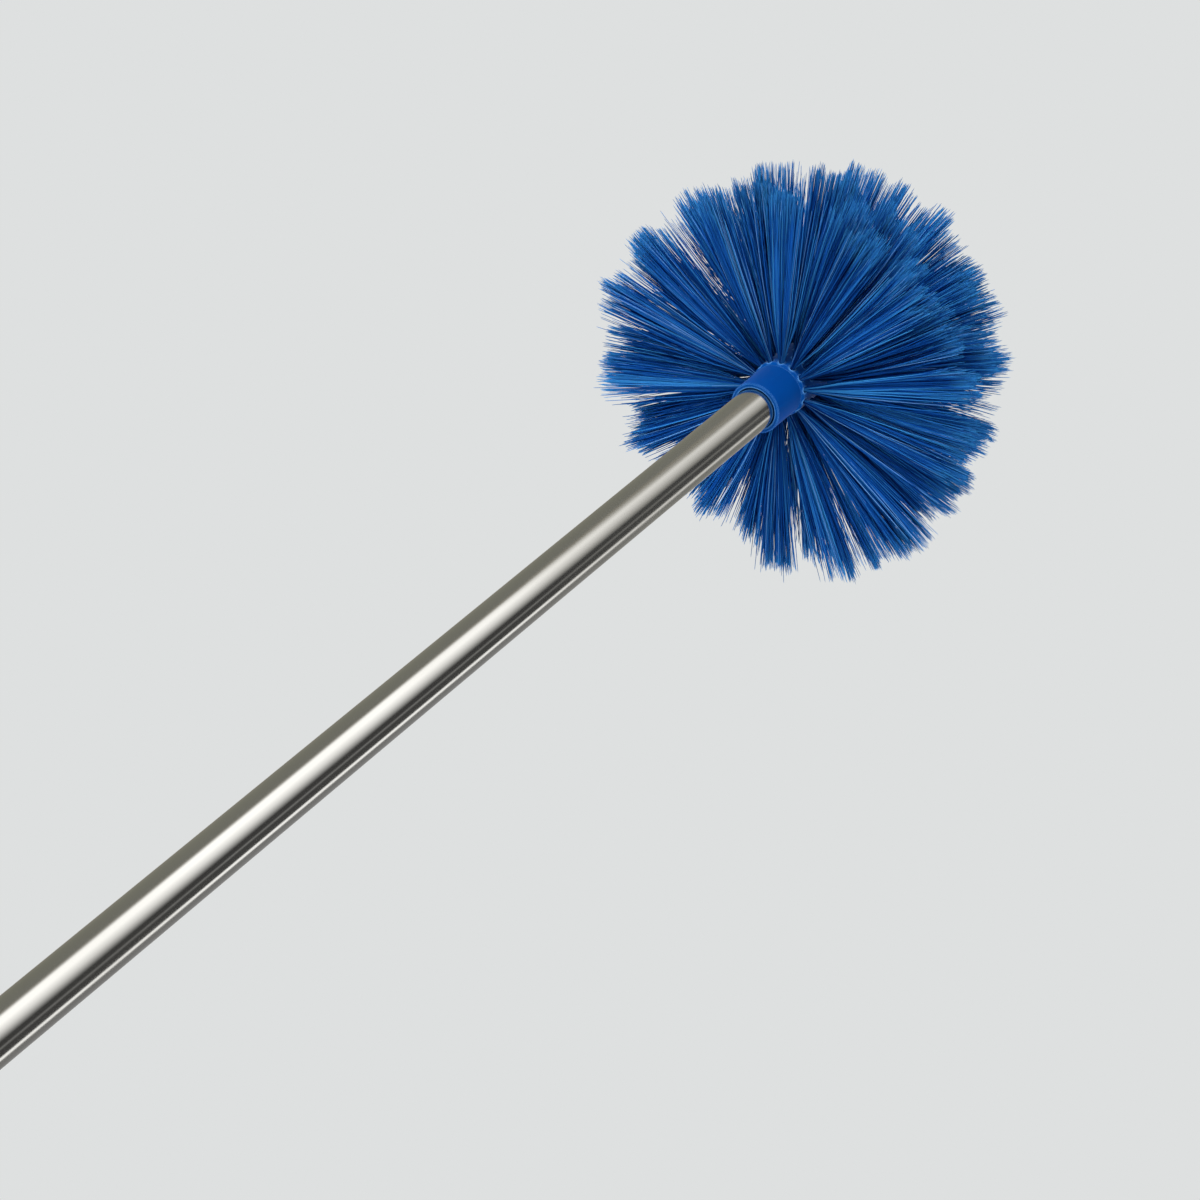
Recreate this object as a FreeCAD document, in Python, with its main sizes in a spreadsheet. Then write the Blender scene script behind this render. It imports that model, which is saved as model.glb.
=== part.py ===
import FreeCAD, Part
import os
import Sketcher

# Cobweb brush: a ball of bristle tufts on a two-section telescopic pole.
# Z runs along the pole towards the brush, and the origin is the middle of the grip.

doc = FreeCAD.newDocument("CobwebBrush")
sheet = doc.addObject("Spreadsheet::Sheet", "Sizes")

# Driving dimensions in millimetres and degrees, and counts
driving = {
    # Pole
    "upper_tube_diameter": 19,
    "upper_tube_wall": 0.5,
    "lower_tube_diameter": 22,
    "lower_tube_wall": 0.5,
    "lower_tube_length": 740,
    "drawn_length": 600,
    "tube_overlap": 72,
    # Fits
    "press_clearance": 0.05,
    "slide_clearance": 0.3,
    "clamp_clearance": 0.1,
    "thread_clearance": 0.2,
    # Brush hub, measured from its rim
    "collar_diameter": 24,
    "collar_length": 20,
    "mouth_clearance": 0.45,
    "mouth_depth": 8,
    "barrel_diameter": 26,
    "barrel_length": 41,
    "collar_step": 1.5,
    "rim_round": 0.5,
    # Bristle tufts
    "tuft_diameter": 2.8,
    "tuft_hole_depth": 4.5,
    "tuft_length": 84,
    "tuft_neck": 1,
    "barrel_fan_width": 28,
    "barrel_fan_depth": 20,
    "dome_fan_width": 34,
    "dome_fan_depth": 28,
    "fan_overrun": 3,
    "barrel_tuft_count": 14,
    "first_row_station": 22.6,
    "barrel_row_spacing": 7,
    "row_1_lean": 90,
    "row_2_lean": 85,
    "row_3_lean": 70,
    "row_4_lean": 54,
    "row_5_lean": 33,
    "row_6_lean": 13,
    "row_4_count": 12,
    "row_5_count": 6,
    "row_6_count": 3,
    # Tuft anchors
    "anchor_thickness": 0.35,
    "anchor_height": 1.4,
    "anchor_bite": 0.3,
    "anchor_floor": 0.6,
    # Threaded tip
    "tip_plug_length": 30,
    "tip_wall": 2.5,
    "tip_flange_thickness": 1,
    "tip_flange_inset": 0.1,
    "spigot_diameter": 16.8,
    "spigot_length": 11,
    "spigot_chamfer": 1,
    "ridge_pitch": 3,
    "ridge_depth": 0.8,
    "ridge_gap_width": 2.2,
    "ridge_root_width": 0.8,
    "ridge_count": 3,
    # Guide bush
    "bush_plug_length": 18,
    "bush_skirt_length": 30,
    "bush_bore": 12,
    "bush_chamfer": 1.5,
    # Twist lock, measured from the top of the lower tube
    "lock_skirt_length": 24,
    "lock_base_length": 10,
    "lock_base_diameter": 34,
    "lock_lip_thickness": 3,
    "lock_thread_diameter": 29,
    "lock_head_length": 14,
    "lock_chamfer": 1.2,
    "ring_foot_thickness": 1.1,
    "ring_taper": 1.6,
    "ring_length": 12.5,
    "ring_slot_width": 3,
    "nut_diameter": 34,
    "nut_cap_thickness": 6,
    "nut_gap": 1,
    "nut_round": 2,
    "flute_count": 18,
    "flute_radius": 2,
    "flute_depth": 0.9,
    # Grip
    "grip_length": 120,
    "grip_diameter": 28,
    "grip_round": 2,
    "grip_groove_count": 8,
    "grip_groove_width": 3,
    "grip_groove_root_width": 1.5,
    "grip_groove_depth": 0.8,
    "grip_groove_spacing": 12,
    # End cap
    "cap_plug_length": 20,
    "cap_flange_diameter": 26,
    "cap_flange_thickness": 4,
    "cap_round": 1.5,
    "eye_width": 20,
    "eye_thickness": 8,
    "eye_hole_diameter": 9,
    "eye_drop": 14,
}
for row, (alias, size) in enumerate(driving.items(), start=1):
    sheet.set(f"A{row}", alias)
    sheet.set(f"B{row}", str(size))
    sheet.setAlias(f"B{row}", alias)
doc.recompute()


def number(expression):
    return float(sheet.evalExpression(expression))


# Expressions that several pieces share
upper_outer = "(Sizes.upper_tube_diameter / 2)"
upper_inner = f"({upper_outer} - Sizes.upper_tube_wall)"
lower_outer = "(Sizes.lower_tube_diameter / 2)"
lower_inner = f"({lower_outer} - Sizes.lower_tube_wall)"
lower_bottom = "(-Sizes.grip_length / 2)"
lower_top = f"({lower_bottom} + Sizes.lower_tube_length)"
ring_bottom = "(Sizes.lock_lip_thickness + Sizes.slide_clearance)"
ring_top = f"({ring_bottom} + Sizes.ring_length)"
nut_top = f"({ring_top} + Sizes.nut_cap_thickness)"
rim_height = f"({lower_top} + {nut_top} + Sizes.drawn_length)"
tip_seat = f"({rim_height} + Sizes.mouth_depth - Sizes.tip_flange_thickness)"
upper_bottom = f"({lower_top} - Sizes.tube_overlap)"
barrel_radius = "(Sizes.barrel_diameter / 2)"
spigot_top = "(Sizes.mouth_depth + Sizes.spigot_length)"

# Rows of tufts, counted from the pole
barrel_rows = ("row_1", "row_2", "row_3")
dome_rows = ("row_4", "row_5", "row_6")
half_step_rows = ("row_2", "row_4", "row_5")


def origin_plane(body, role):
    return next(item for item in body.Origin.OriginFeatures if item.Role == role)


def new_sketch(body, name, role):
    sketch = body.newObject("Sketcher::SketchObject", name)
    sketch.AttachmentSupport = (origin_plane(body, role), [""])
    sketch.MapMode = "FlatFace"
    return sketch


def bind_point(sketch, geometry, vertex, name, place):
    for kind, expression in zip(("DistanceX", "DistanceY"), place):
        index = sketch.addConstraint(
            Sketcher.Constraint(kind, -1, 1, geometry, vertex, number(expression))
        )
        label = f"{name}_{kind[-1]}"
        sketch.renameConstraint(index, label)
        sketch.setExpression(f"Constraints.{label}", expression)


# A closed outline through the given corners; the side that starts at corner dome is a quarter circle
# about a point on the turning axis
def outline_sketch(body, name, role, corners, dome=None):
    sketch = new_sketch(body, name, role)
    points = [FreeCAD.Vector(number(x), number(y), 0) for x, y in corners]
    for index, start in enumerate(points):
        end = points[(index + 1) % len(points)]
        if index == dome:
            circle = Part.Circle(FreeCAD.Vector(0, start.y, 0), FreeCAD.Vector(0, 0, 1), start.x)
            sketch.addGeometry(Part.ArcOfCircle(circle, circle.parameter(start), circle.parameter(end)))
        else:
            sketch.addGeometry(Part.LineSegment(start, end))
    for index in range(len(points)):
        following = (index + 1) % len(points)
        sketch.addConstraint(Sketcher.Constraint("Coincident", index, 2, following, 1))
    if dome is not None:
        sketch.addConstraint(Sketcher.Constraint("PointOnObject", dome, 3, -2))
    for index, corner in enumerate(corners):
        bind_point(sketch, index, 1, f"corner_{index}", corner)
    return sketch


def circle_sketch(body, name, role, circles):
    sketch = new_sketch(body, name, role)
    for index, (x, y, radius) in enumerate(circles):
        centre = FreeCAD.Vector(number(x), number(y), 0)
        circle = Part.Circle(centre, FreeCAD.Vector(0, 0, 1), number(radius))
        sketch.addGeometry(circle)
        bind_point(sketch, index, 3, f"centre_{index}", (x, y))
        constraint = sketch.addConstraint(Sketcher.Constraint("Radius", index, number(radius)))
        sketch.renameConstraint(constraint, f"radius_{index}")
        sketch.setExpression(f"Constraints.radius_{index}", radius)
    return sketch


def new_body(label, height):
    body = doc.addObject("PartDesign::Body", label)
    body.setExpression("Placement.Base.z", height)
    return body


# A piece of revolution about the pole's axis, from its half outline (radius, height)
def turned_body(label, height, corners, dome=None):
    body = new_body(label, height)
    sketch = outline_sketch(body, f"{label}_outline", "XZ_Plane", corners, dome)
    turn = body.newObject("PartDesign::Revolution", f"{label}_turn")
    turn.Profile = sketch
    turn.ReferenceAxis = (sketch, ["V_Axis"])
    turn.Angle = 360
    doc.recompute()
    return body


# Rounds the circular edges that lie at the given (radius, height) places
def round_edges(body, name, radius, places):
    base = body.Tip
    edges = []
    for index, edge in enumerate(base.Shape.Edges, start=1):
        if edge.Degenerated or not isinstance(edge.Curve, Part.Circle):
            continue
        for at_radius, at_height in places:
            same_radius = abs(edge.Curve.Radius - number(at_radius)) < 1e-4
            if same_radius and abs(edge.Curve.Center.z - number(at_height)) < 1e-4:
                edges.append(f"Edge{index}")
    rounding = body.newObject("PartDesign::Fillet", name)
    rounding.Base = (base, edges)
    rounding.setExpression("Radius", radius)
    doc.recompute()


# Ring grooves cut round a turned body's outside, repeated along its axis from the first one's middle
def ring_grooves(body, name, outer, depth, width, root_width, first, count, spacing):
    sketch = outline_sketch(body, f"{name}_outline", "XZ_Plane", [
        (f"{outer} - {depth}", f"{first} - {root_width} / 2"),
        (outer, f"{first} - {width} / 2"),
        (f"{outer} + {depth}", f"{first} - {width} / 2"),
        (f"{outer} + {depth}", f"{first} + {width} / 2"),
        (outer, f"{first} + {width} / 2"),
        (f"{outer} - {depth}", f"{first} + {root_width} / 2"),
    ])
    groove = body.newObject("PartDesign::Groove", name)
    groove.Profile = sketch
    groove.ReferenceAxis = (sketch, ["V_Axis"])
    groove.Angle = 360
    doc.recompute()
    pattern = body.newObject("PartDesign::LinearPattern", f"{name}_pattern")
    pattern.Originals = [groove]
    pattern.Direction = (sketch, ["V_Axis"])
    pattern.setExpression("Length", f"{spacing} * ({count} - 1)")
    pattern.setExpression("Occurrences", count)
    body.Tip = pattern
    doc.recompute()


def tube(label, bottom, outer, inner, length):
    body = new_body(label, bottom)
    sketch = circle_sketch(body, f"{label}_section", "XY_Plane", [("0", "0", outer), ("0", "0", inner)])
    pad = body.newObject("PartDesign::Pad", f"{label}_pad")
    pad.Profile = sketch
    pad.setExpression("Length", length)
    doc.recompute()
    return body


# Plug and spigot that the hub screws on to; its height zero is the top of the upper tube
def make_threaded_tip():
    plug = f"({upper_inner} - Sizes.press_clearance)"
    core = f"({plug} - Sizes.tip_wall)"
    flange = f"({upper_outer} - Sizes.tip_flange_inset)"
    spigot = "(Sizes.spigot_diameter / 2)"
    top = "(Sizes.tip_flange_thickness + Sizes.spigot_length)"
    body = turned_body("threaded_tip", tip_seat, [
        (core, "-Sizes.tip_plug_length"),
        (plug, "-Sizes.tip_plug_length"),
        (plug, "0"),
        (flange, "0"),
        (flange, "Sizes.tip_flange_thickness"),
        (spigot, "Sizes.tip_flange_thickness"),
        (spigot, f"{top} - Sizes.spigot_chamfer"),
        (f"{spigot} - Sizes.spigot_chamfer", top),
        ("0", top),
        ("0", "-Sizes.tip_wall"),
        (core, "-Sizes.tip_wall"),
    ])
    first = "(Sizes.tip_flange_thickness + Sizes.ridge_pitch / 2)"
    ring_grooves(
        body, "ridge_groove", spigot, "Sizes.ridge_depth", "Sizes.ridge_gap_width", "Sizes.ridge_root_width",
        first, "Sizes.ridge_count", "Sizes.ridge_pitch",
    )
    return body


# Bush in the upper tube's lower end, running in the lower tube; height zero is the tube's end
def make_guide_bush():
    plug = f"({upper_inner} - Sizes.press_clearance)"
    skirt = f"({lower_inner} - Sizes.slide_clearance)"
    bore = "(Sizes.bush_bore / 2)"
    return turned_body("guide_bush", upper_bottom, [
        (bore, "-Sizes.bush_skirt_length"),
        (f"{skirt} - Sizes.bush_chamfer", "-Sizes.bush_skirt_length"),
        (skirt, "-Sizes.bush_skirt_length + Sizes.bush_chamfer"),
        (skirt, "0"),
        (plug, "0"),
        (plug, "Sizes.bush_plug_length"),
        (bore, "Sizes.bush_plug_length"),
    ])


# Fixed half of the twist lock; height zero is the top of the lower tube
def make_lock_body():
    sleeve = f"({lower_outer} + Sizes.press_clearance)"
    guide = f"({upper_outer} + Sizes.slide_clearance)"
    seat_foot = f"({upper_outer} + Sizes.clamp_clearance + Sizes.ring_foot_thickness + Sizes.slide_clearance)"
    seat_rise = "((Sizes.lock_head_length - Sizes.lock_lip_thickness) / Sizes.ring_length)"
    seat_mouth = f"({seat_foot} + Sizes.ring_taper * {seat_rise})"
    base = "(Sizes.lock_base_diameter / 2)"
    thread = "(Sizes.lock_thread_diameter / 2)"
    base_bottom = "(-Sizes.lock_skirt_length)"
    base_top = f"({base_bottom} + Sizes.lock_base_length)"
    return turned_body("lock_body", lower_top, [
        (sleeve, base_bottom),
        (f"{base} - Sizes.lock_chamfer", base_bottom),
        (base, f"{base_bottom} + Sizes.lock_chamfer"),
        (base, base_top),
        (thread, base_top),
        (thread, "Sizes.lock_head_length"),
        (seat_mouth, "Sizes.lock_head_length"),
        (seat_foot, "Sizes.lock_lip_thickness"),
        (guide, "Sizes.lock_lip_thickness"),
        (guide, "0"),
        (sleeve, "0"),
    ])


# Split taper ring that the nut presses on to the upper tube
def make_clamp_ring():
    bore = f"({upper_outer} + Sizes.clamp_clearance)"
    foot = f"({bore} + Sizes.ring_foot_thickness)"
    head = f"({foot} + Sizes.ring_taper)"
    body = turned_body("clamp_ring", lower_top, [
        (bore, ring_bottom),
        (foot, ring_bottom),
        (head, ring_top),
        (bore, ring_top),
    ])
    half_slot = "(Sizes.ring_slot_width / 2)"
    reach = f"({head} * 2)"
    slot = outline_sketch(body, "ring_slot_outline", "XY_Plane", [
        ("0", f"-{half_slot}"),
        (reach, f"-{half_slot}"),
        (reach, half_slot),
        ("0", half_slot),
    ])
    cut = body.newObject("PartDesign::Pocket", "ring_slot")
    cut.Profile = slot
    cut.Type = "Length"
    cut.Reversed = True
    cut.setExpression("Length", f"{ring_top} + Sizes.ring_length")
    doc.recompute()
    return body


# Fluted nut that turns on the lock body and carries the clamp ring down
def make_lock_nut():
    outer = "(Sizes.nut_diameter / 2)"
    bore = "(Sizes.lock_thread_diameter / 2 + Sizes.thread_clearance)"
    mouth = f"({upper_outer} + Sizes.slide_clearance)"
    bottom = "(Sizes.lock_base_length - Sizes.lock_skirt_length + Sizes.nut_gap)"
    body = turned_body("lock_nut", lower_top, [
        (bore, bottom),
        (f"{outer} - Sizes.lock_chamfer", bottom),
        (outer, f"{bottom} + Sizes.lock_chamfer"),
        (outer, nut_top),
        (mouth, nut_top),
        (mouth, ring_top),
        (bore, ring_top),
    ])
    round_edges(body, "nut_rounding", "Sizes.nut_round", [(outer, nut_top)])
    flute = circle_sketch(body, "flute_section", "XY_Plane", [
        (f"{outer} + Sizes.flute_radius - Sizes.flute_depth", "0", "Sizes.flute_radius"),
    ])
    pocket = body.newObject("PartDesign::Pocket", "flute")
    pocket.Profile = flute
    pocket.Type = "ThroughAll"
    pocket.Midplane = True
    doc.recompute()
    pattern = body.newObject("PartDesign::PolarPattern", "flute_pattern")
    pattern.Originals = [pocket]
    pattern.Axis = (flute, ["N_Axis"])
    pattern.Angle = 360
    pattern.setExpression("Occurrences", "Sizes.flute_count")
    body.Tip = pattern
    doc.recompute()
    return body


def make_grip():
    bore = f"({lower_outer} + Sizes.press_clearance)"
    outer = "(Sizes.grip_diameter / 2)"
    body = turned_body("grip", lower_bottom, [
        (bore, "0"),
        (outer, "0"),
        (outer, "Sizes.grip_length"),
        (bore, "Sizes.grip_length"),
    ])
    round_edges(body, "grip_rounding", "Sizes.grip_round", [(outer, "0"), (outer, "Sizes.grip_length")])
    pattern_length = "(Sizes.grip_groove_spacing * (Sizes.grip_groove_count - 1))"
    first = f"((Sizes.grip_length - {pattern_length}) / 2)"
    ring_grooves(
        body, "grip_groove", outer, "Sizes.grip_groove_depth", "Sizes.grip_groove_width",
        "Sizes.grip_groove_root_width", first, "Sizes.grip_groove_count", "Sizes.grip_groove_spacing",
    )
    return body


# Plug in the lower tube with a flat hanging eye below it; height zero is the tube's end
def make_end_cap():
    plug = f"({lower_inner} - Sizes.press_clearance)"
    flange = "(Sizes.cap_flange_diameter / 2)"
    body = turned_body("cap_plug", "0", [
        ("0", "-Sizes.cap_flange_thickness"),
        (flange, "-Sizes.cap_flange_thickness"),
        (flange, "0"),
        (plug, "0"),
        (plug, "Sizes.cap_plug_length"),
        ("0", "Sizes.cap_plug_length"),
    ])
    round_edges(body, "cap_rounding", "Sizes.cap_round", [(flange, "-Sizes.cap_flange_thickness")])
    eye_height = "(-Sizes.cap_flange_thickness - Sizes.eye_drop)"
    tab = doc.addObject("Part::Box", "eye_tab")
    tab.setExpression("Length", "Sizes.eye_width")
    tab.setExpression("Width", "Sizes.eye_thickness")
    tab.setExpression("Height", "Sizes.eye_drop + Sizes.cap_flange_thickness / 2")
    tab.setExpression("Placement.Base.x", "-Sizes.eye_width / 2")
    tab.setExpression("Placement.Base.y", "-Sizes.eye_thickness / 2")
    tab.setExpression("Placement.Base.z", eye_height)
    rounds = []
    for name, diameter, thickness in (
        ("eye_end", "Sizes.eye_width", "Sizes.eye_thickness"),
        ("eye_hole", "Sizes.eye_hole_diameter", "Sizes.eye_thickness * 2"),
    ):
        cylinder = doc.addObject("Part::Cylinder", name)
        cylinder.setExpression("Radius", f"{diameter} / 2")
        cylinder.setExpression("Height", thickness)
        cylinder.Placement.Rotation = FreeCAD.Rotation(FreeCAD.Vector(1, 0, 0), -90)
        cylinder.setExpression("Placement.Base.y", f"-({thickness}) / 2")
        cylinder.setExpression("Placement.Base.z", eye_height)
        rounds.append(cylinder)
    end, hole = rounds
    solid = doc.addObject("Part::MultiFuse", "cap_solid")
    solid.Shapes = [body, tab, end]
    cap = doc.addObject("Part::Cut", "end_cap")
    cap.Base = solid
    cap.Tool = hole
    cap.setExpression("Placement.Base.z", lower_bottom)
    doc.recompute()
    return cap


# Each row of tufts: count, station of its roots from the rim, radius of its roots, lean from the axis.
# Some rows start half a step round, so that their tufts point between those of the row behind.
def tuft_rows():
    rows = []
    for index, row in enumerate(barrel_rows):
        rows.append({
            "name": f"tuft_{row}",
            "tuft": "barrel_tuft",
            "count": round(number("Sizes.barrel_tuft_count")),
            "half_step": row in half_step_rows,
            "station": number(f"Sizes.first_row_station + {index} * Sizes.barrel_row_spacing"),
            "radius": number(barrel_radius),
            "lean": number(f"Sizes.{row}_lean"),
        })
    for row in dome_rows:
        lean = f"Sizes.{row}_lean * 1 deg"
        rows.append({
            "name": f"tuft_{row}",
            "tuft": "dome_tuft",
            "count": round(number(f"Sizes.{row}_count")),
            "half_step": row in half_step_rows,
            "station": number(f"Sizes.barrel_length + {barrel_radius} * cos({lean})"),
            "radius": number(f"{barrel_radius} * sin({lean})"),
            "lean": number(f"Sizes.{row}_lean"),
        })
    return rows


# Places of one row's tufts from the rim: Z outwards along the tuft, X round the hub
def tuft_places(row):
    step = 360 / row["count"]
    start = step / 2 if row["half_step"] else 0
    places = []
    for tuft in range(row["count"]):
        turn = FreeCAD.Rotation(FreeCAD.Vector(0, 0, 1), start + step * tuft)
        lean = FreeCAD.Rotation(FreeCAD.Vector(0, 1, 0), row["lean"])
        spin = FreeCAD.Rotation(FreeCAD.Vector(0, 0, 1), 90)
        root = FreeCAD.Vector(row["radius"], 0, row["station"])
        places.append(FreeCAD.Placement(turn.multVec(root), turn * lean * spin))
    return places


# A compound that holds a copy of the source at each place
def repeated(label, source, places):
    copies = []
    for index, place in enumerate(places):
        copy = doc.addObject("App::Link", f"{label}_copy_{index + 1}")
        copy.LinkedObject = source
        copy.LinkTransform = True
        copy.Placement = place
        copies.append(copy)
    group = doc.addObject("Part::Compound", label)
    group.Links = copies
    return group


# A folded tuft: round in its hole, fanned out to an ellipse, with its tips cut to a sphere
def make_tuft(label, fan_width, fan_depth):
    sections = []
    for end, height in (
        ("fold", "-Sizes.tuft_hole_depth + Sizes.press_clearance"),
        ("neck", "Sizes.tuft_neck"),
    ):
        circle = doc.addObject("Part::Circle", f"{label}_{end}")
        circle.setExpression("Radius", "Sizes.tuft_diameter / 2")
        circle.setExpression("Placement.Base.z", height)
        sections.append(circle)
    ellipse = doc.addObject("Part::Ellipse", f"{label}_tip")
    ellipse.setExpression("MajorRadius", f"{fan_width} / 2")
    ellipse.setExpression("MinorRadius", f"{fan_depth} / 2")
    ellipse.setExpression("Placement.Base.z", "Sizes.tuft_length + Sizes.fan_overrun")
    fan = doc.addObject("Part::Loft", f"{label}_fan")
    fan.Sections = sections + [ellipse]
    fan.Solid = True
    fan.Ruled = True
    ball = doc.addObject("Part::Sphere", f"{label}_ball")
    ball.setExpression("Radius", f"{barrel_radius} + Sizes.tuft_length")
    ball.setExpression("Placement.Base.z", f"-{barrel_radius}")
    trimmed = doc.addObject("Part::Common", f"{label}_trimmed")
    trimmed.Base = fan
    trimmed.Tool = ball
    tuft = doc.addObject("Part::Cut", label)
    tuft.Base = trimmed
    tuft.Tool = anchor_box(f"{label}_slot", "Sizes.press_clearance")
    doc.recompute()
    return tuft


# Flat plate across the foot of a tuft, its thickness and height grown by a clearance
def anchor_box(name, clearance):
    box = doc.addObject("Part::Box", name)
    length = "(Sizes.tuft_diameter + 2 * Sizes.anchor_bite)"
    box.setExpression("Length", f"Sizes.anchor_thickness + 2 * {clearance}")
    box.setExpression("Width", length)
    box.setExpression("Height", f"Sizes.anchor_height + 2 * {clearance}")
    box.setExpression("Placement.Base.x", f"-Sizes.anchor_thickness / 2 - {clearance}")
    box.setExpression("Placement.Base.y", f"-{length} / 2")
    box.setExpression("Placement.Base.z", f"Sizes.anchor_floor - Sizes.tuft_hole_depth - {clearance}")
    return box


def make_hub(places):
    collar = "(Sizes.collar_diameter / 2)"
    mouth = f"({upper_outer} + Sizes.mouth_clearance)"
    spigot_bore = "(Sizes.spigot_diameter / 2 + Sizes.thread_clearance)"
    bore_end = f"({spigot_top} + Sizes.slide_clearance)"
    body = turned_body("hub_blank", "0", [
        (mouth, "0"),
        (collar, "0"),
        (collar, "Sizes.collar_length"),
        (barrel_radius, "Sizes.collar_length + Sizes.collar_step"),
        (barrel_radius, "Sizes.barrel_length"),
        ("0", f"Sizes.barrel_length + {barrel_radius}"),
        ("0", bore_end),
        (spigot_bore, bore_end),
        (spigot_bore, "Sizes.mouth_depth"),
        (mouth, "Sizes.mouth_depth"),
    ], dome=4)
    round_edges(body, "rim_rounding", "Sizes.rim_round", [(collar, "0")])
    hole = doc.addObject("Part::Cylinder", "tuft_hole")
    hole.setExpression("Radius", "Sizes.tuft_diameter / 2 + Sizes.press_clearance")
    hole.setExpression("Height", "Sizes.tuft_hole_depth * 2")
    hole.setExpression("Placement.Base.z", "-Sizes.tuft_hole_depth")
    hub = doc.addObject("Part::Cut", "brush_hub")
    hub.Base = body
    hub.Tool = repeated("tuft_holes", hole, places)
    doc.recompute()
    return hub


def make_brush_head():
    tufts = {
        "barrel_tuft": make_tuft("barrel_tuft", "Sizes.barrel_fan_width", "Sizes.barrel_fan_depth"),
        "dome_tuft": make_tuft("dome_tuft", "Sizes.dome_fan_width", "Sizes.dome_fan_depth"),
    }
    places = []
    pieces = []
    for row in tuft_rows():
        row_places = tuft_places(row)
        pieces.append(repeated(row["name"], tufts[row["tuft"]], row_places))
        places += row_places
    pieces.append(make_hub(places))
    anchor = anchor_box("anchor", "0")
    pieces.append(repeated("tuft_anchors", anchor, places))
    for piece in pieces:
        piece.setExpression("Placement.Base.z", rim_height)
    doc.recompute()
    return pieces


nodes = make_brush_head()
nodes += [
    tube("upper_tube", upper_bottom, upper_outer, upper_inner, f"{tip_seat} - {upper_bottom}"),
    make_threaded_tip(),
    make_guide_bush(),
    tube("lower_tube", lower_bottom, lower_outer, lower_inner, "Sizes.lower_tube_length"),
    make_lock_body(),
    make_clamp_ring(),
    make_lock_nut(),
    make_grip(),
    make_end_cap(),
]
doc.recompute()

# Stop if any object failed or any node is empty or invalid
for item in doc.Objects:
    if "Invalid" in item.State or "Error" in item.State:
        raise RuntimeError(f"{item.Label} did not build: {item.State}")
for node in nodes:
    if node.Shape.isNull() or not node.Shape.isValid() or not node.Shape.Solids:
        raise RuntimeError(f"{node.Label} has no valid solid")

os.makedirs("parts", exist_ok=True)
for node in nodes:
    node.Shape.exportStep(f"parts/{node.Label}.step")
    print(f"{node.Label}: {len(node.Shape.Solids)} solids, {node.Shape.Volume:.1f} mm3")
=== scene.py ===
import math

import bmesh
import bpy
import numpy as np
from mathutils import Matrix, Vector


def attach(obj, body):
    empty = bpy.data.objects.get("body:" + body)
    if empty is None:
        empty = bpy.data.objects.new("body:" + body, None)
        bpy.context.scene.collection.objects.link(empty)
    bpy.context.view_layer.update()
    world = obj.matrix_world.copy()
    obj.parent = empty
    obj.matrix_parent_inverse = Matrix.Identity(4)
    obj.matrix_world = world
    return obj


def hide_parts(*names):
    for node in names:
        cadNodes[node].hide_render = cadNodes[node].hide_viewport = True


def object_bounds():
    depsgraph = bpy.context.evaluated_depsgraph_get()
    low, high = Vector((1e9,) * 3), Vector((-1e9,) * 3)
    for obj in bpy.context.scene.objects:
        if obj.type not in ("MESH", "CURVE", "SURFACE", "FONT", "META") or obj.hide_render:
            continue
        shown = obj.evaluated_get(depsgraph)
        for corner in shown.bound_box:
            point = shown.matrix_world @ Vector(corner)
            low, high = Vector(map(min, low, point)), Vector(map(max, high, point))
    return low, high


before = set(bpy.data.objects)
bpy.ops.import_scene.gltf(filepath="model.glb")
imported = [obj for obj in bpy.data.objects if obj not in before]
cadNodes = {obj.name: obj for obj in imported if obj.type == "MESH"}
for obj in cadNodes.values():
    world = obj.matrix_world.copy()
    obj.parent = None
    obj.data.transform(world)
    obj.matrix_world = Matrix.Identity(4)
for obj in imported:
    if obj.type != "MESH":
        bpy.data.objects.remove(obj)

scene = bpy.context.scene
scene.view_settings.view_transform = "Standard"
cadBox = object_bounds()
print("frame loaded,", len(cadNodes), "nodes")


# camera, below the head and looking up along the pole
cameraSettings = {
    "place": (0.0198, -0.9228, 0.198),
    "lookUp": 45.87,  # degrees above the horizon, facing +Y
    "roll": 49.53,
    "lens": 98.1,  # mm
    "sensor": 36.0,
}


def makeCamera(s):
    data = bpy.data.cameras.new("camera")
    data.lens = s["lens"]
    data.sensor_width = s["sensor"]
    camera = bpy.data.objects.new("camera", data)
    scene.collection.objects.link(camera)
    tilt = Matrix.Rotation(math.radians(90 + s["lookUp"]), 4, "X")
    roll = Matrix.Rotation(math.radians(s["roll"]), 4, "Z")
    camera.matrix_world = Matrix.Translation(s["place"]) @ tilt @ roll
    scene.camera = camera


makeCamera(cameraSettings)
print("camera placed")


# shader helpers: a wire is a socket, and sums on it add Math nodes
class Wire:
    def __init__(self, tree, socket):
        self.tree = tree
        self.socket = socket

    def math(self, operation, first, second=0.0):
        return self.tree.node("ShaderNodeMath", {"operation": operation}, {0: first, 1: second})

    def __add__(self, other):
        return self.math("ADD", self, other)

    def __radd__(self, other):
        return self.math("ADD", other, self)

    def __sub__(self, other):
        return self.math("SUBTRACT", self, other)

    def __rsub__(self, other):
        return self.math("SUBTRACT", other, self)

    def __mul__(self, other):
        return self.math("MULTIPLY", self, other)

    def __rmul__(self, other):
        return self.math("MULTIPLY", other, self)


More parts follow.
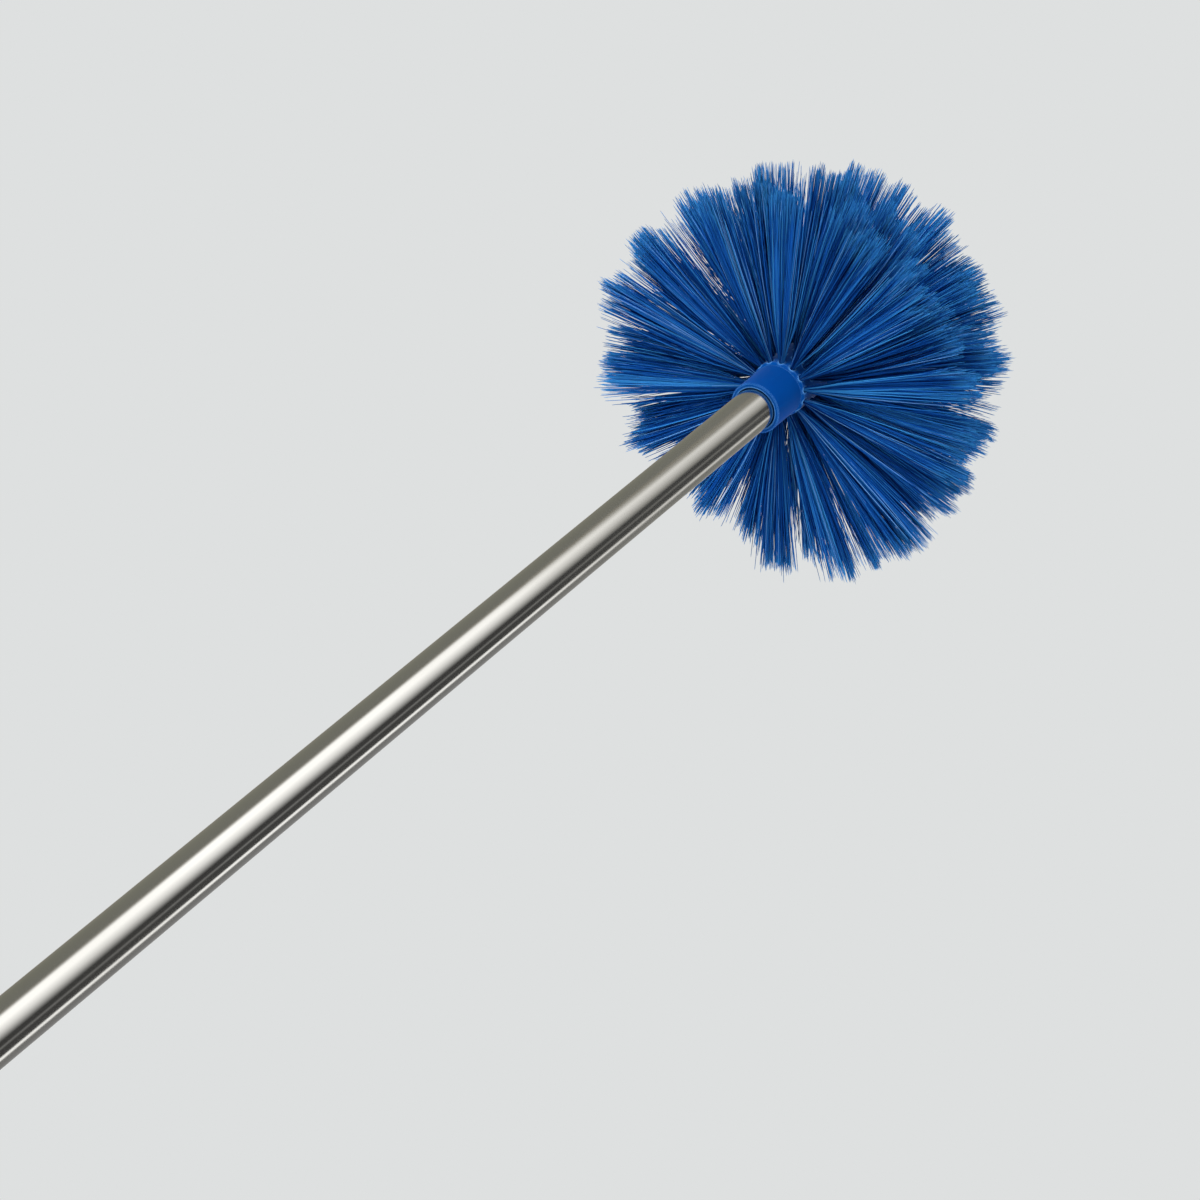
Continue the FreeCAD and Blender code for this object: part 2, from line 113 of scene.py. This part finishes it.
class Shading:
    def __init__(self, owner):
        owner.use_nodes = True
        self.owner = owner
        self.tree = owner.node_tree

    def join(self, value, socket):
        if isinstance(value, Wire):
            self.tree.links.new(value.socket, socket)
        else:
            socket.default_value = value

    def node(self, kind, settings=None, sockets=None, output=0):
        made = self.tree.nodes.new(kind)
        for key, value in (settings or {}).items():
            if key == "stops":
                self.setStops(made.color_ramp, value)
            else:
                setattr(made, key, value)
        for key, value in (sockets or {}).items():
            self.join(value, made.inputs[key])
        return Wire(self, made.outputs[output])

    def setStops(self, ramp, stops):
        while len(ramp.elements) < len(stops):
            ramp.elements.new(1.0)
        for element, (position, colour) in zip(ramp.elements, stops):
            element.position = position
            element.color = colour

    # object coordinates, stretched by a size for each axis
    def place(self, stretch=(1, 1, 1)):
        spot = self.node("ShaderNodeTexCoord", output="Object")
        return self.node("ShaderNodeMapping", {}, {"Vector": spot, "Scale": stretch})

    def noise(self, scale, detail=2.0, stretch=(1, 1, 1)):
        place = self.place(stretch)
        return self.node("ShaderNodeTexNoise", {}, {"Vector": place, "Scale": scale, "Detail": detail})

    def ramp(self, value, stops):
        return self.node("ShaderNodeValToRGB", {"stops": stops}, {"Fac": value})

    # a value stretched from one range to another, and held at its ends
    def span(self, value, low, high, first=0.0, last=1.0):
        ends = {"From Min": low, "From Max": high, "To Min": first, "To Max": last}
        smooth = {"interpolation_type": "SMOOTHSTEP"}
        return self.node("ShaderNodeMapRange", smooth, {"Value": value, **ends})

    def mix(self, share, first, second, blend="MIX"):
        return self.node("ShaderNodeMix", {"data_type": "RGBA", "blend_type": blend},
                         {0: share, 6: first, 7: second}, output=2)

    # 1 for the rays that show a backdrop, 0 for those that light a surface
    def backdropRays(self):
        rays = self.node("ShaderNodeLightPath", output="Is Camera Ray")
        rays = rays + self.node("ShaderNodeLightPath", output="Is Glossy Ray")
        return rays + self.node("ShaderNodeLightPath", output="Is Transmission Ray")

    # how sharply the surface turns within a small radius: 0 below the first turn, 1 above the second
    def edges(self, radius, turns=(0.02, 0.16), samples=6):
        plain = self.node("ShaderNodeNewGeometry", output="Normal")
        rounded = self.node("ShaderNodeBevel", {"samples": samples}, {"Radius": radius})
        same = self.node("ShaderNodeVectorMath", {"operation": "DOT_PRODUCT"},
                         {0: plain, 1: rounded}, output="Value")
        return self.span(1 - same, *turns)

    def bump(self, height, distance):
        return self.node("ShaderNodeBump", {}, {"Height": height, "Distance": distance})


def srgb(red, green, blue):
    steps = [x / 255 for x in (red, green, blue)]
    return tuple(x / 12.92 if x <= 0.04045 else ((x + 0.055) / 1.055) ** 2.4 for x in steps) + (1.0,)


def newFinish(name, **fixed):
    finish = Shading(bpy.data.materials.new(name))
    shader = finish.tree.nodes["Principled BSDF"]
    for socket, value in fixed.items():
        shader.inputs[socket.replace("_", " ")].default_value = value
    return finish, shader


def coat(node, finish):
    part = cadNodes[node]
    part.data.materials.clear()
    part.data.materials.append(finish.owner)


# polished steel of the two tubes
steelSettings = {
    "light": srgb(213, 212, 208),
    "dark": srgb(189, 187, 181),
    "roughness": (0.10, 0.22),
    "drawLines": 900.0,  # lines across a metre
    "lineStretch": (1, 1, 0.012),  # drawn out along the tube
    "lineDepth": 0.0000035,
    "smudges": 14.0,  # across a metre
    "smudgeStretch": (1, 1, 0.5),
    "smudgeReach": (0.35, 0.75),  # of the noise, from clean to smudged
    "smudgeShare": 0.6,  # of the roughness, the rest comes from the lines
}


def steelFinish(s):
    finish, shader = newFinish("polishedSteel", Metallic=1.0)
    lines = finish.noise(s["drawLines"], detail=3.0, stretch=s["lineStretch"])
    smudge = finish.noise(s["smudges"], detail=3.0, stretch=s["smudgeStretch"])
    finish.join(finish.mix(smudge, s["light"], s["dark"]), shader.inputs["Base Color"])
    low, high = s["roughness"]
    smudged = finish.span(smudge, *s["smudgeReach"]) * s["smudgeShare"]
    rough = low + (high - low) * (smudged + lines * (1 - s["smudgeShare"]))
    finish.join(rough, shader.inputs["Roughness"])
    finish.join(finish.bump(lines, s["lineDepth"]), shader.inputs["Normal"])
    return finish


# moulded plastics: the marks that all of them have, then each one's own colours and gloss
mouldSettings = {
    "flow": 38.0,  # clouds of the melt across a metre
    "flowStretch": (1, 1, 0.45),
    "flowReach": (0.35, 0.75),
    "flowShare": 0.35,
    "scuffs": 260.0,  # across a metre
    "scuffStretch": (1, 1, 0.25),
    "scuffReach": (0.60, 0.72),
    "scuffShare": 0.22,
    "edgeWearAndHighlightReach": (0.25, 0.6, 0.55, 1.0),  # lighter edges, wear and on the hub a painted highlight too, grow with the flow, from 0.55 to all of an edge
    "roughFlow": 0.6,
    "roughScuffs": 0.5,
    "bumpFlow": 0.6,
}
plasticSettings = {
    # the hub's wide, light edge colour is partly wear and partly a painted highlight on its lit rim
    "hub": {"colour": srgb(0, 74, 160), "pale": srgb(12, 98, 186), "grain": 1800.0, "depth": 0.00002,
            "roughness": (0.38, 0.52), "gloss": 0.03, "edge": 0.0016, "edgeWearAndHighlight": srgb(96, 164, 236)},
    "lock": {"colour": srgb(4, 76, 156), "pale": srgb(28, 104, 182), "grain": 1500.0, "depth": 0.00003,
             "roughness": (0.36, 0.52), "gloss": 0.35, "edge": 0.0006, "edgeWearAndHighlight": srgb(70, 134, 204)},
    "grip": {"colour": srgb(8, 42, 88), "pale": srgb(26, 66, 116), "grain": 1100.0, "depth": 0.0003,
             "roughness": (0.58, 0.78), "gloss": 0.3, "edge": 0.0008, "edgeWearAndHighlight": srgb(52, 92, 142)},
    "inner": {"colour": srgb(226, 225, 220), "pale": srgb(240, 239, 235), "grain": 1600.0, "depth": 0.00002,
              "roughness": (0.42, 0.58), "gloss": 0.4, "edge": 0.0005, "edgeWearAndHighlight": srgb(246, 245, 241)},
}


def plasticFinish(name, s, m):
    finish, shader = newFinish(name, Specular_IOR_Level=s["gloss"])
    flow = finish.noise(m["flow"], detail=4.0, stretch=m["flowStretch"])
    grain = finish.noise(s["grain"])
    scuffs = finish.noise(m["scuffs"], detail=5.0, stretch=m["scuffStretch"])
    scuffs = finish.span(scuffs, *m["scuffReach"])
    tone = finish.mix(finish.span(flow, *m["flowReach"]) * m["flowShare"], s["colour"], s["pale"])
    tone = finish.mix(scuffs * m["scuffShare"], tone, s["pale"])
    # lighter edges: wear, and on the hub also a painted highlight
    edgeWearAndHighlight = finish.edges(s["edge"]) * finish.span(flow, *m["edgeWearAndHighlightReach"])
    tone = finish.mix(edgeWearAndHighlight, tone, s["edgeWearAndHighlight"])
    finish.join(tone, shader.inputs["Base Color"])
    low, high = s["roughness"]
    rough = low + (high - low) * (flow * m["roughFlow"] + scuffs * m["roughScuffs"])
    finish.join(rough, shader.inputs["Roughness"])
    finish.join(finish.bump(grain + flow * m["bumpFlow"], s["depth"]), shader.inputs["Normal"])
    return finish


# bright wire of the anchors that hold the tufts
wireSettings = {
    "light": srgb(200, 200, 198),
    "dark": srgb(150, 150, 148),
    "roughness": (0.25, 0.4),
    "drawLines": 2400.0,  # across a metre
    "lineStretch": (1, 0.1, 1),
}


def wireFinish(s):
    finish, shader = newFinish("anchorWire", Metallic=1.0)
    drawn = finish.noise(s["drawLines"], stretch=s["lineStretch"])
    finish.join(finish.mix(drawn, s["light"], s["dark"]), shader.inputs["Base Color"])
    low, high = s["roughness"]
    finish.join(low + (high - low) * drawn, shader.inputs["Roughness"])
    return finish


def coatFrame():
    steel = steelFinish(steelSettings)
    plastic = {key: plasticFinish(key + "Plastic", s, mouldSettings) for key, s in plasticSettings.items()}
    coats = {
        "upper_tube": steel,
        "lower_tube": steel,
        "brush_hub": plastic["hub"],
        "lock_body": plastic["lock"],
        "lock_nut": plastic["lock"],
        "end_cap": plastic["lock"],
        "grip": plastic["grip"],
        "threaded_tip": plastic["inner"],
        "guide_bush": plastic["inner"],
        "clamp_ring": plastic["inner"],
        "tuft_anchors": wireFinish(wireSettings),
    }
    for node, finish in coats.items():
        coat(node, finish)


coatFrame()
print("frame finished")


# bristles: each tuft is a fan of filaments out of its hole in the hub
bristleSettings = {
    "rim": 1.3018,  # height of the hub's back rim
    "hubRadius": 0.013,
    "domeStation": 0.041,  # centre of the hub's round end, from the rim
    "free": 0.086,  # length outside the hub
    "holeRadius": 0.00125,
    "filament": 0.00021,  # radius
    "strands": 270,  # in each tuft
    "clumps": 15,
    "clumpSpread": 0.10,  # of the fan's half width
    "strayShare": 0.14,  # of the filaments leave their clump
    "strayReach": 1.6,
    "tuftLean": 0.0034,  # sideways at the tip
    "tuftBend": 0.0022,
    "strandBend": 0.0012,
    "bendPower": 2.2,  # the higher, the nearer to the tip a filament bends
    "unevenness": 0.018,  # of the length, as are the trims
    "clumpTrim": 0.044,
    "tuftTrim": 0.02,
    "strayTrim": 0.1,
    "clumpPoint": 0.011,  # what a filament loses at one spread from the middle of its clump
    "steps": (-0.045, 0.0, 0.25, 0.5, 0.75, 0.985, 1.0),  # along the free length
    "swell": (0.0, 0.9, 1.0, 1.0, 0.95, 0.6, 0.0),  # of the radius, at those steps
    "mergeGap": 1e-6,
    "tints": 48,
    "tintMiddle": 0.44,
    "clumpTint": 0.13,
    "strandTint": 0.21,
    "tuftTint": 0.08,
    "tintCap": 0.9,
    "paintedSheenShare": 0.06,  # of the filaments take the palest tint, a painted sheen in place of highlights along them
    "mapEnds": (0.02, 0.98),  # foot and tip of each column of the bake map
    "mapSides": (0.15, 0.85),
    "seed": 24,
}
# station: height of the roots above the rim, none on the round end; lean: degrees from the pole's line;
# half: whether the row starts half a step round; fan: width and depth of a tuft at its tips;
# flare: least and most of the fan that a tuft takes; opening: the lower, the sooner a tuft widens
tuftRows = {
    "tuft_row_1": {"tufts": 14, "station": 0.0226, "lean": 90, "half": False, "fan": (0.028, 0.020),
                   "flare": (0.55, 0.92), "opening": 0.7},
    "tuft_row_2": {"tufts": 14, "station": 0.0296, "lean": 85, "half": True, "fan": (0.028, 0.020),
                   "flare": (0.58, 0.96), "opening": 0.7},
    "tuft_row_3": {"tufts": 14, "station": 0.0366, "lean": 70, "half": False, "fan": (0.028, 0.020),
                   "flare": (0.85, 1.15), "opening": 0.8},
    "tuft_row_4": {"tufts": 12, "station": None, "lean": 54, "half": True, "fan": (0.034, 0.028),
                   "flare": (0.9, 1.2), "opening": 0.85},
    "tuft_row_5": {"tufts": 6, "station": None, "lean": 33, "half": True, "fan": (0.034, 0.028),
                   "flare": (0.95, 1.25), "opening": 0.85},
    "tuft_row_6": {"tufts": 3, "station": None, "lean": 13, "half": False, "fan": (0.034, 0.028),
                   "flare": (0.95, 1.25), "opening": 0.85},
}
bristleColours = {
    "dark": srgb(8, 30, 82),
    "middle": srgb(22, 95, 191),
    "light": srgb(60, 152, 225),
    # pale: a painted sheen on a few filaments, in place of highlights, as the bristles have no gloss
    "pale": srgb(104, 168, 240),
    # root: painted shade, darker filaments near the hub
    "root": srgb(2, 28, 80),
    "paintedRootShade": (0.0, 0.4, 0.5, 0.0),  # painted shade towards the hub: place along the filament from, to, and the root's share there
    "tip": srgb(66, 156, 218),
    "tipFade": (0.84, 1.0, 0.0, 0.45),
    "tintStops": (("dark", 0.0), ("middle", 0.5), ("light", 0.9), ("pale", 1.0)),
}


def bristleFinish(c):
    finish, shader = newFinish("blueBristle", Roughness=0.6, Specular_IOR_Level=0.0)
    tint = finish.node("ShaderNodeAttribute", {"attribute_name": "tint"}, output="Fac")
    along = finish.node("ShaderNodeAttribute", {"attribute_name": "along"}, output="Fac")
    tone = finish.ramp(tint, [(stop, c[name]) for name, stop in c["tintStops"]])
    # painted shade darkens the filaments towards the hub
    tone = finish.mix(finish.span(along, *c["paintedRootShade"]), tone, c["root"])
    tone = finish.mix(finish.span(along, *c["tipFade"]), tone, c["tip"])
    finish.join(tone, shader.inputs["Base Color"])
    return finish


# points spread evenly over a disc of radius 1
def discPoints(count, dice):
    turn = dice.uniform(0, 2 * math.pi, count)
    reach = np.sqrt(dice.uniform(0, 1, count))
    return np.stack([reach * np.cos(turn), reach * np.sin(turn)], axis=1)


# root, direction and two sideways directions of each tuft in a row
def tuftFrames(row, s):
    lean = math.radians(row["lean"])
    way = Vector((math.sin(lean), 0, math.cos(lean)))
    root = Vector((s["hubRadius"], 0, s["rim"] + (row["station"] or 0)))
    if row["station"] is None:
        root = Vector((0, 0, s["rim"] + s["domeStation"])) + way * s["hubRadius"]
    for k in range(row["tufts"]):
        turn = Matrix.Rotation(2 * math.pi * (k + 0.5 * row["half"]) / row["tufts"], 3, "Z")
        side = turn @ Vector((0, 1, 0))
        yield turn @ root, turn @ way, side, side.cross(turn @ way)


# points along each filament of a tuft, and its tint
def tuftStrands(place, row, s, dice):
    root, way, side, rise = (np.array(v) for v in place)
    count = s["strands"]
    fan = np.array(row["fan"]) / 2 * dice.uniform(*row["flare"], 2)
    nest = discPoints(s["clumps"], dice)  # filaments gather in a few clumps
    pick = dice.integers(0, s["clumps"], count)
    apart = dice.normal(0, 1, (count, 2))
    spread = nest[pick] * (1 - s["clumpSpread"]) + apart * s["clumpSpread"]
    stray = dice.uniform(0, 1, count) < s["strayShare"]
    spread[stray] = discPoints(stray.sum(), dice) * s["strayReach"]
    start = (spread + discPoints(count, dice)) / 2 * s["holeRadius"]
    lean = dice.normal(0, s["tuftLean"], 2)
    bend = dice.normal(0, s["tuftBend"], 2) + dice.normal(0, s["strandBend"], (count, 2))
    short = np.abs(dice.normal(0, s["clumpTrim"], s["clumps"]))[pick]
    short += s["clumpPoint"] * (apart ** 2).sum(axis=1) + abs(dice.normal(0, s["tuftTrim"]))
    length = s["free"] * (1 - short - np.abs(dice.normal(0, s["unevenness"], count)))
    length -= stray * dice.uniform(0, s["strayTrim"], count) * s["free"]
    steps = np.array(s["steps"])[None, :, None]
    out = np.clip(steps, 0, 1)
    fanned = (spread * fan - start)[:, None] * out ** row["opening"]
    offset = start[:, None] + fanned + lean * out + bend[:, None] * out ** s["bendPower"]
    reach = steps[..., 0] * length[:, None]
    sag = (offset ** 2).sum(axis=2) / (2 * s["free"]) * out[..., 0]  # so that the ends lie on a sphere
    points = root + (reach - sag)[..., None] * way + offset[..., :1] * side + offset[..., 1:] * rise
    shade = dice.normal(0, s["clumpTint"], s["clumps"])[pick]
    shade = shade + dice.normal(0, s["strandTint"], count) + dice.normal(0, s["tuftTint"])
    tint = np.clip(s["tintMiddle"] + shade, 0, s["tintCap"])
    # painted sheen: some filaments take the palest tint in place of highlights
    tint[dice.uniform(0, 1, count) < s["paintedSheenShare"]] = 1.0
    return points, tint


def strandMesh(name, points, tint, s):
    curve = bpy.data.curves.new(name, "CURVE")
    curve.dimensions = "3D"
    curve.bevel_depth = s["filament"]
    curve.bevel_resolution = 0
    for line in points:
        spline = curve.splines.new("POLY")
        spline.points.add(len(line) - 1)
        spline.points.foreach_set("co", np.insert(line, 3, 1.0, axis=1).ravel())
        spline.points.foreach_set("radius", s["swell"])
    holder = bpy.data.objects.new(name, curve)
    mesh = bpy.data.meshes.new_from_object(holder)
    bpy.data.objects.remove(holder)
    markStrands(mesh, len(s["steps"]), tint, s)
    form = bmesh.new()
    form.from_mesh(mesh)
    # closes both ends of each filament
    bmesh.ops.remove_doubles(form, verts=form.verts, dist=s["mergeGap"])
    bmesh.ops.recalc_face_normals(form, faces=form.faces)
    form.to_mesh(mesh)
    form.free()
    return mesh


# tint of each filament and place along it, and the map for the bake, with a column for each tint
def markStrands(mesh, rings, tint, s):
    corners = len(mesh.vertices) // (rings * len(tint))
    column = np.round(tint * (s["tints"] - 1))
    tints = np.repeat(column / (s["tints"] - 1), rings * corners)
    along = np.tile(np.repeat(np.clip(s["steps"], 0, 1), corners), len(tint))
    for key, values in (("tint", tints), ("along", along)):
        layer = mesh.attributes.new(key, "FLOAT", "POINT")
        layer.data.foreach_set("value", values.astype(np.float32))
    vertex = np.empty(len(mesh.loops), np.int32)
    mesh.loops.foreach_get("vertex_index", vertex)
    near, far = s["mapSides"]
    across = np.repeat(column, rings * corners)[vertex] + np.where(vertex % 2, far, near)
    up = np.tile(np.repeat(np.linspace(*s["mapEnds"], rings), corners), len(tint))[vertex]
    bakeMap = mesh.uv_layers[0]
    bakeMap.name = "OFBake"
    bakeMap.data.foreach_set("uv", np.stack([across / s["tints"], up], axis=1).astype(np.float32).ravel())


def makeBristles(s):
    finish = bristleFinish(bristleColours)
    dice = np.random.default_rng(s["seed"])
    for node, row in tuftRows.items():
        tufts = [tuftStrands(place, row, s, dice) for place in tuftFrames(row, s)]
        points = np.concatenate([t[0] for t in tufts])
        tint = np.concatenate([t[1] for t in tufts])
        mesh = strandMesh(node.replace("tuft", "bristle"), points, tint, s)
        mesh.materials.clear()
        mesh.materials.append(finish.owner)
        piece = bpy.data.objects.new(mesh.name, mesh)
        scene.collection.objects.link(piece)
        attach(piece, "brush_head")
        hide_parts(node)
        piece.visible_glossy = False  # the pole mirrors the studio only
        mesh.calc_loop_triangles()
        print(piece.name, len(tint), "filaments,", len(mesh.loop_triangles), "triangles")


makeBristles(bristleSettings)
print("bristles made")


# floor, world and lamps
studioSettings = {
    "floor": srgb(236, 237, 237),
    "floorRadius": 40.0,
    "floorDrop": 0.0005,  # under the lowest point of the object
    "sides": 96,  # of the floor and the drum
    "backdrop": srgb(222, 224, 224),
    "fade": (0.3, 1.5),  # the floor turns into the backdrop between these distances
    "ambient": 0.33,
    "lamps": {  # azimuth from -Y towards +X in degrees, distance, height, aimed height, width, tall, watts
        "leftBox": (-38, 2.2, 2.3, 1.4, 1.75, 1.5, 8.0),
        "frontBox": (-48, 2.3, 0.36, 0.85, 1.6, 0.8, 31.0),
        "rightBox": (56, 2.4, 1.2, 0.95, 1.2, 1.6, 15.0),
        "backBox": (135, 2.5, 1.2, 0.95, 1.2, 1.6, 35.0),
        "rearBox": (228, 2.4, 1.2, 0.95, 1.2, 1.6, 17.0),
        "topBox": (-10, 1.4, 3.4, 1.0, 1.6, 1.6, 5.0),
    },
    "drumRadius": 2.5,
    "drumHole": 0.22,  # round the foot, where the floor itself is mirrored
    "drumTop": 4.8,
    "drumGain": 1.85,
    "drumBands": (  # azimuth in degrees and grey: what the steel mirrors, as in a photographer's tent
        (-180, 150), (-165, 235), (-145, 106), (-63, 101), (-49, 250), (-24, 248), (0, 204),
        (20, 130), (31, 50), (47, 52), (53, 112), (59, 54), (84, 58), (89, 230),
        (97, 230), (104, 100), (140, 108), (162, 120), (174, 235),
    ),
    "drumCap": (3.3, 4.2, 0.5),  # the bands sink to taupe between these heights, by this share
    "taupe": srgb(108, 105, 96),
    "taupeEdge": (-66, -42),  # a taupe side hides the bands up to these azimuths
    "taupeLean": 24,  # by which its edge leans in, over the cap's heights
}


def makeFloor(s):
    form = bmesh.new()
    bmesh.ops.create_circle(form, cap_ends=True, segments=s["sides"], radius=s["floorRadius"])
    bmesh.ops.translate(form, verts=form.verts, vec=(0, 0, cadBox[0].z - s["floorDrop"]))
    mesh = bpy.data.meshes.new("floor")
    form.to_mesh(mesh)
    form.free()
    finish, shader = newFinish("floorPaint", Base_Color=s["floor"], Roughness=0.8, Specular_IOR_Level=0.0)
    spot = finish.node("ShaderNodeTexCoord", output="Object")
    away = finish.node("ShaderNodeVectorMath", {"operation": "LENGTH"}, {0: spot}, output="Value")
    far = finish.span(away, *s["fade"]) * finish.backdropRays()
    glow = finish.node("ShaderNodeEmission", {}, {"Color": s["backdrop"], "Strength": 1.0})
    both = finish.node("ShaderNodeMixShader", {}, {"Fac": far, 1: Wire(finish, shader.outputs[0]), 2: glow})
    finish.join(both, finish.tree.nodes["Material Output"].inputs["Surface"])
    mesh.materials.append(finish.owner)
    floor = bpy.data.objects.new("floor", mesh)
    scene.collection.objects.link(floor)


def makeWorld(s):
    scene.world = bpy.data.worlds.new("studio")
    shading = Shading(scene.world)
    shading.tree.nodes.clear()
    fill = shading.node("ShaderNodeBackground", {}, {"Color": (1, 1, 1, 1), "Strength": s["ambient"]})
    back = shading.node("ShaderNodeBackground", {}, {"Color": s["backdrop"], "Strength": 1.0})
    both = shading.node("ShaderNodeMixShader", {}, {"Fac": shading.backdropRays(), 1: fill, 2: back})
    out = shading.tree.nodes.new("ShaderNodeOutputWorld")
    shading.join(both, out.inputs["Surface"])


# a point at an azimuth, counted from -Y towards +X
def aroundPole(azimuth, distance, height):
    turn = math.radians(azimuth)
    return Vector((distance * math.sin(turn), -distance * math.cos(turn), height))


def makeLamp(name, azimuth, distance, height, aim, wide, tall, watts):
    data = bpy.data.lights.new(name, "AREA")
    data.shape = "RECTANGLE"
    data.size = wide
    data.size_y = tall
    data.energy = watts
    lamp = bpy.data.objects.new(name, data)
    scene.collection.objects.link(lamp)
    lamp.location = aroundPole(azimuth, distance, height)
    lamp.rotation_euler = (Vector((0, 0, aim)) - lamp.location).to_track_quat("-Z", "Y").to_euler()
    lamp.visible_camera = False
    lamp.visible_glossy = False


# where an azimuth lies in the whole turn from -180 to 180 degrees
def turnShare(azimuth):
    return (azimuth + 180) / 360


# a drum round the object that only the gloss shows
def makeDrum(s):
    form = bmesh.new()
    foot = cadBox[0].z
    profile = ((s["drumHole"], foot), (s["drumRadius"], foot), (s["drumRadius"], s["drumTop"]))
    corners = [form.verts.new((0, -reach, height)) for reach, height in profile]
    edges = [form.edges.new(pair) for pair in zip(corners, corners[1:])]
    bmesh.ops.spin(form, geom=corners + edges, axis=(0, 0, 1), cent=(0, 0, 0), angle=math.tau,
                   steps=s["sides"], use_merge=True)
    mesh = bpy.data.meshes.new("drum")
    form.to_mesh(mesh)
    form.free()
    finish = Shading(bpy.data.materials.new("drumPaint"))
    spot = finish.node("ShaderNodeTexCoord", output="Object")
    parts = (finish.node("ShaderNodeSeparateXYZ", {}, {0: spot}, output=axis) for axis in "XYZ")
    across, depth, height = parts
    turn = across.math("ARCTAN2", across, -1 * depth) * (0.5 / math.pi) + 0.5  # 0 to 1, as turnShare gives
    stops = [(turnShare(azimuth), srgb(grey, grey, grey)) for azimuth, grey in s["drumBands"]]
    bands = finish.ramp(turn, stops)
    low, high, share = s["drumCap"]
    rise = finish.span(height, low, high)
    bands = finish.mix(rise * share, bands, s["taupe"], "DARKEN")
    first, last = (turnShare(azimuth) for azimuth in s["taupeEdge"])
    hidden = 1 - finish.span(turn - rise * (s["taupeLean"] / 360), first, last)
    bands = finish.mix(hidden, bands, s["taupe"], "DARKEN")
    glow = finish.node("ShaderNodeEmission", {}, {"Color": bands, "Strength": s["drumGain"]})
    finish.join(glow, finish.tree.nodes["Material Output"].inputs["Surface"])
    mesh.materials.append(finish.owner)
    drum = bpy.data.objects.new("drum", mesh)
    scene.collection.objects.link(drum)
    drum.visible_camera = False
    drum.visible_diffuse = False
    drum.visible_shadow = False
    drum.visible_transmission = False


makeFloor(studioSettings)
makeWorld(studioSettings)
for lampName, lampPlace in studioSettings["lamps"].items():
    makeLamp(lampName, *lampPlace)
makeDrum(studioSettings)
print("studio lit")
